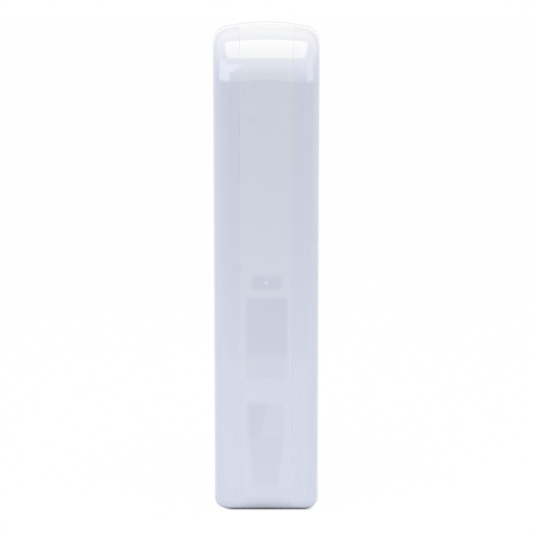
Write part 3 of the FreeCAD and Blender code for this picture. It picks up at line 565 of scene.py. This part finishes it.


# Lens strip: moulded in milky polyethylene, thin enough for body heat to pass, and held by its flange behind
# the cover's edge. Soft darker fields of painted shade lie where the mask's shaded windows would show through
# it, and a painted pale dot of light marks the end of the light guide in the first. The milk's tone shifts
# slightly with the height as painted reflection, and painted shade darkens it at the foot.
lens_milk = shade(201, 207, 222)
lens_cool = shade(198, 205, 220)
middle_reflection_tone = shade(200, 206, 223)
low_reflection_tone = shade(198, 203, 222)
foot_shade_tone = shade(168, 172, 188)
window_shade_tone = shade(189, 194, 214)
milk_cloud = 18 * MM
lens_wave = 5 * MM
lens_wave_height = 0.015 * MM
half_strip = 8.3 * MM
middle_range = (105 * MM, 72 * MM)
low_range = (44 * MM, 34 * MM)
foot_share, foot_range = 0.85, (5.5 * MM, 0.3 * MM)
lens, place = finish("lens_polyethylene", lens_milk,
                     {"Roughness": 0.16, "IOR": 1.51, "Coat Weight": 1.0, "Coat Roughness": 0.05})
x, _, z = place.axes()
milk = place.mottle(milk_cloud)
milk_tone = milk.between(lens_milk, lens_cool)
# Painted reflection shifts the milk's tone with the height.
milk_tone = z.rise(*middle_range).between(milk_tone, middle_reflection_tone)
milk_tone = z.rise(*low_range).between(milk_tone, low_reflection_tone)
# Painted highlight along each edge of the strip beside the seam, where a rounded edge would catch light.
lip_highlight = lip_highlight_share * abs(x).rise(half_slot - lip_from, half_slot - lip_to)
milk_tone = lip_highlight.between(milk_tone, highlight_pale)
# Painted shade darkens the middle of the strip towards the foot.
foot = z.rise(*foot_range)
foot_shade = foot_share * foot * foot * (1 - (x / half_strip) * (x / half_strip))
milk_tone = foot_shade.between(milk_tone, foot_shade_tone)
# Painted contact shadow darkens the last edge above the table.
milk_tone = contact_shadow(z).between(milk_tone, contact_shadow_grey)


def window(across, up, left, right, bottom, top, blur=1.7 * MM):
    """A window of the mask as painted shade in the milk, with edges this blurred."""
    return across.band(left, right, blur) * up.band(bottom, top, blur)


# Painted shade of the lamp's window, and of the upper sensor's, which is paler below an arch and a little
# darker at its end.
full_share = 0.8
arch_curve = 40
paler_share, arch_range = 0.38, (44.4 * MM, 43.4 * MM)
end_share, end_range = 0.2, (39.4 * MM, 38.2 * MM)
lamp_window = window(x, z, left=-4.0 * MM, right=3.95 * MM, bottom=61.0 * MM, top=64.7 * MM)
upper_window = window(x, z, left=-5.4 * MM, right=5.6 * MM, bottom=36.8 * MM, top=58.8 * MM)
arch = z + arch_curve * x * x
upper_share = full_share - paler_share * arch.rise(*arch_range) + end_share * arch.rise(*end_range)

# The lower sensor's window, also painted shade, narrows downwards and fades in two steps. In its upper part,
# what lies left of a leaning edge is darker than what lies right of it.
narrowing, narrow_range = 0.27, (24 * MM, 8 * MM)
lower_depth, split_shift, split_share = 0.72, 0.27, 0.55
split_range, split_slope, split_foot, split_edge = (19.8 * MM, 21.2 * MM), 0.2, 29 * MM, (0.8 * MM, -0.4 * MM)
first_fade, first_range = 0.17, (14 * MM, 11 * MM)
second_fade, second_range = 0.2, (9 * MM, 6.5 * MM)
narrowed = x / (1 - narrowing * z.rise(*narrow_range))
lower_window = window(narrowed, z, left=-5.0 * MM, right=4.8 * MM, bottom=6.4 * MM, top=29.9 * MM)
left_of_edge = (x - split_slope * (z - split_foot)).rise(*split_edge)
lower_share = lower_depth + z.rise(*split_range) * (split_share * left_of_edge - split_shift)
lower_share = lower_share - first_fade * z.rise(*first_range) - second_fade * z.rise(*second_range)

# The windows' painted shade darkens the milk.
windows = full_share * lamp_window + upper_share * upper_window + lower_share * lower_window
milk_tone = windows.between(milk_tone, window_shade_tone)
dot_share, glint_share = 0.7, 0.2
# A painted pale dot of light where the light guide's end lies behind, and a small painted glint.
guide_end_light = dot_share * spot(place, across=0.05 * MM, up=62.95 * MM, radius=0.45 * MM, soft=0.5 * MM)
glint = glint_share * spot(place, across=-2.45 * MM, up=45.1 * MM, radius=0.2 * MM, soft=0.3 * MM)
milk_tone = (guide_end_light + glint).between(milk_tone, highlight_pale)
speck = speck_share * spot(place, across=-4.05 * MM, up=106.5 * MM, radius=0.4 * MM, soft=0.5 * MM)
vary(lens, {
    "Base Color": speck.between(milk_tone, speck_grey),
    "Roughness": 0.06 + 0.03 * milk,
    "Normal": place.mottle(lens_wave, detail=1).relief(lens_wave_height, strength=0.5),
})
dress(lens, "lens_strip")


# Camera: straight in front of the detector and a little above it, looking down at its middle. Its distance
# and its film give the picture the scale of the photograph.
photo_pixels = 533
pixels_per_metre = 3620
film_width = 0.036
camera_rise = radians(9.4)
camera_distance = 0.52
right_of_middle = 0.05 * MM
below_middle = 1.12 * MM
low, high = cad_box
target = Vector((right_of_middle, 0, (low.z + high.z) / 2 - below_middle))
camera = placed("camera", bpy.data.cameras.new("camera"))
camera.location = target + camera_distance * Vector((0, -cos(camera_rise), sin(camera_rise)))
camera.rotation_euler = (target - camera.location).to_track_quat("-Z", "Y").to_euler()
camera.data.sensor_width = film_width / MM
camera.data.lens = film_width / MM * pixels_per_metre * camera_distance / photo_pixels
camera.data.clip_start = 0.01
camera.data.clip_end = 20
bpy.context.scene.camera = camera


# Table: plain white paper on a table whose near edge lies just outside the picture. The camera and the glossy
# faces see it white, except close to the detector, and it keeps the detector's shadow.
def ray_kinds(field):
    """Whether a ray comes from the camera, from something glossy, or through something clear."""
    return [field.node("LightPath", {}, {}, f"Is {kind} Ray")
            for kind in ("Camera", "Glossy", "Transmission")]


def mix_surface(material, share, first, second):
    """Makes the material's surface the first shader, giving way to the second by this share."""
    mixed = share.node("MixShader", {}, {0: share, 1: first, 2: second})
    material.node_tree.links.new(mixed.socket, material.node_tree.nodes["Material Output"].inputs["Surface"])


table_reach = 4.0
table_edge = 0.205
mesh = bpy.data.meshes.new("table")
mesh.from_pydata([(-table_reach, -table_edge, 0), (table_reach, -table_edge, 0),
                  (table_reach, table_reach, 0), (-table_reach, table_reach, 0)], [], [(0, 1, 2, 3)])
table = placed("table", mesh)
paper_tone = (0.84, 0.86, 0.90, 1)
shadow_share = 0.03
contact_reach = 0.8 * MM
mirror_reach = 6 * MM
under_left, under_right, under_edge = 4.5 * MM, 3 * MM, 3 * MM
paper, place = finish("table_paper", paper_tone, {"Roughness": 0.9, "Specular IOR Level": 0.0})
lit_paper = Field(paper.node_tree.nodes["Principled BSDF"].outputs[0])
white_paper = place.node("Emission", {}, {"Color": (1, 1, 1, 1), "Strength": 1.0})
camera_ray, glossy_ray, clear_ray = ray_kinds(place)
across, along, _ = place.axes()
away = (abs(across) - high.x).or_more((low.y - along).or_more(along - high.y))
seen = camera_ray + (glossy_ray + clear_ray) * away.rise(0, mirror_reach)
under_front = across.band(low.x + under_left, high.x - under_right, under_edge)
near_foot = under_front * (low.y + MM - along).rise(contact_reach, 0) * (along - high.y).rise(0, -MM)
white_share = (1 - shadow_share) * (1 - near_foot)
mix_surface(paper, white_share * seen, lit_paper, white_paper)
mesh.materials.append(paper)


# Studio walls: white to the camera. They light the detector from all sides. Its glossy faces mirror a bright
# ceiling and, below the table's near edge, the studio's dark front, which is lighter low down and aside. The
# ranges are those of a direction's parts across, inwards and upwards, from -1 to 1.
wall_light = 0.92
lean_right = 0.09
front_light, towards_front = 0.83, (-0.3, -0.8)
mirrored_walls = 1.0
mirrored_ceiling, towards_ceiling = 1.65, (0.1, 0.65)
mirrored_behind, towards_behind = 0.95, (0.4, 1.0)
dark_front, lit_front = 0.34, 0.84
above_table, past_front = (-0.02, 0.04), (-0.5, -0.2)
low_down, to_the_side, side_share = (-0.1, -0.24), (0.1, 0.4), 0.5
warm_ceiling, warm_range = (1.0, 0.93, 0.82, 1), (0.1, 0.9)
world = bpy.data.worlds.new("studio")
bpy.context.scene.world = world
world.use_nodes = True
background = world.node_tree.nodes["Background"]
direction = Field(world.node_tree.nodes.new("ShaderNodeTexCoord").outputs["Generated"])
camera_ray, glossy_ray, clear_ray = ray_kinds(direction)
mirror_ray = (glossy_ray + clear_ray).rise(0, 1)
sideways, inwards, upwards = direction.axes()
walls = wall_light + lean_right * sideways
walls = walls + (front_light - walls) * inwards.rise(*towards_front)
reflected = mirrored_walls + (mirrored_ceiling - mirrored_walls) * upwards.rise(*towards_ceiling)
reflected = reflected + (mirrored_behind - reflected) * inwards.rise(*towards_behind)
lit = walls + (reflected - walls) * mirror_ray
lighter = 1 - (1 - upwards.rise(*low_down)) * (1 - side_share * abs(sideways).rise(*to_the_side))
unlit = dark_front + (lit_front - dark_front) * mirror_ray * lighter
lit_part = upwards.rise(*above_table).or_more(inwards.rise(*past_front))
around = unlit + (lit - unlit) * lit_part
warmth = ((1 - camera_ray) * upwards.rise(*warm_range)).between((1, 1, 1, 1), warm_ceiling)
strength = camera_ray + (1 - camera_ray) * around
world.node_tree.links.new(warmth.socket, background.inputs["Color"])
world.node_tree.links.new(strength.socket, background.inputs["Strength"])


# Studio light: a wide warm soft box over the front of the table, and one on each side, at a level where a
# colour renders about as written. The overhead one is rounded at its ends, and bent as its highlight is.
def soft_box(name, location, target, width, height, light, mirrored, colour=(1, 1, 1),
             mirror_colour=(1, 1, 1), squareness=20, bend=0.0, strips=32):
    """A flat lamp at a place, turned towards a target. It lights things with this share of white, and is this
    bright where they mirror it. A squareness of 2 makes it an ellipse, and its long sides are bent by this
    much of its height."""
    turn = (Vector(target) - Vector(location)).to_track_quat("-Z", "Y")
    nearly_all = 0.9995
    verts, faces = [], []
    for strip in range(strips + 1):
        share = nearly_all * sin(pi * (strip / strips - 0.5))
        half = height / 2 * (1 - abs(share) ** squareness) ** (1 / squareness)
        for v in (-half, half):
            v += bend * height * share * share
            verts.append(Vector(location) + turn @ Vector((share * width / 2, v, 0)))
        if strip:
            faces.append((2 * strip - 2, 2 * strip, 2 * strip + 1, 2 * strip - 1))
    mesh = bpy.data.meshes.new(name)
    mesh.from_pydata([tuple(point) for point in verts], [], faces)
    cloth, place = finish(name + "_cloth", (0, 0, 0, 1), {})
    lights = place.node("Emission", {}, {"Color": (*colour, 1), "Strength": light})
    mirrors = place.node("Emission", {}, {"Color": (*mirror_colour, 1), "Strength": mirrored})
    mix_surface(cloth, ray_kinds(place)[1], lights, mirrors)
    mesh.materials.append(cloth)
    thing = placed(name, mesh)
    thing.visible_camera = False
    thing.visible_shadow = False


soft_box("overhead", location=(0, -0.32, 0.73), target=(0, -0.32, 0), width=0.515, height=0.64,
         light=2.65, mirrored=3.2, colour=(1.0, 0.92, 0.75), mirror_colour=(1.0, 0.92, 0.72),
         squareness=3, bend=0.4)
soft_box("front_left", location=(-0.42, -0.49, 0.405), target=(0, -0.018, 0.405), width=0.86, height=0.49,
         light=1.9, mirrored=2.4)
soft_box("front_right", location=(0.48, -0.38, 0.38), target=(0, -0.018, 0.38), width=0.53, height=0.50,
         light=1.6, mirrored=2.0)


bpy.context.scene.view_settings.view_transform = "Standard"
